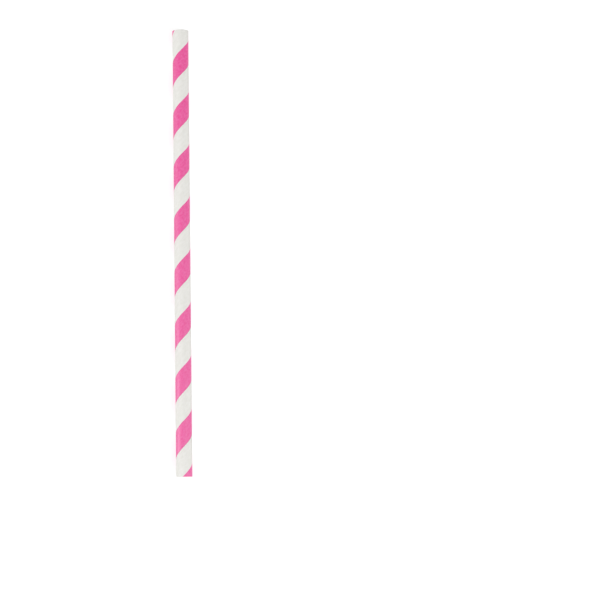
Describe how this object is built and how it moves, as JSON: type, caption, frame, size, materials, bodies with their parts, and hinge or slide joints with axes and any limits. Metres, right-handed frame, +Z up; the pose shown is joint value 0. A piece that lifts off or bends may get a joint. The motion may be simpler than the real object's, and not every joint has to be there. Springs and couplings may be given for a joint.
{
  "type": "paper drinking straw",
  "caption": "Spiral-wound paper drinking straw with a pink stripe, open right through, lying on its side.",
  "frame": {"origin": "on the surface the straw lies on, under the middle of its length", "axes": "+Y along the straw towards its head end, +Z up, +X across it"},
  "size_m": [0.007, 0.197, 0.007],
  "materials": {
    "straw_paper": "uncoated bleached paper, printed with a pink spiral stripe"
  },
  "bodies": {
    "root": {"straw": "straw_paper"}
  },
  "joints": []
}
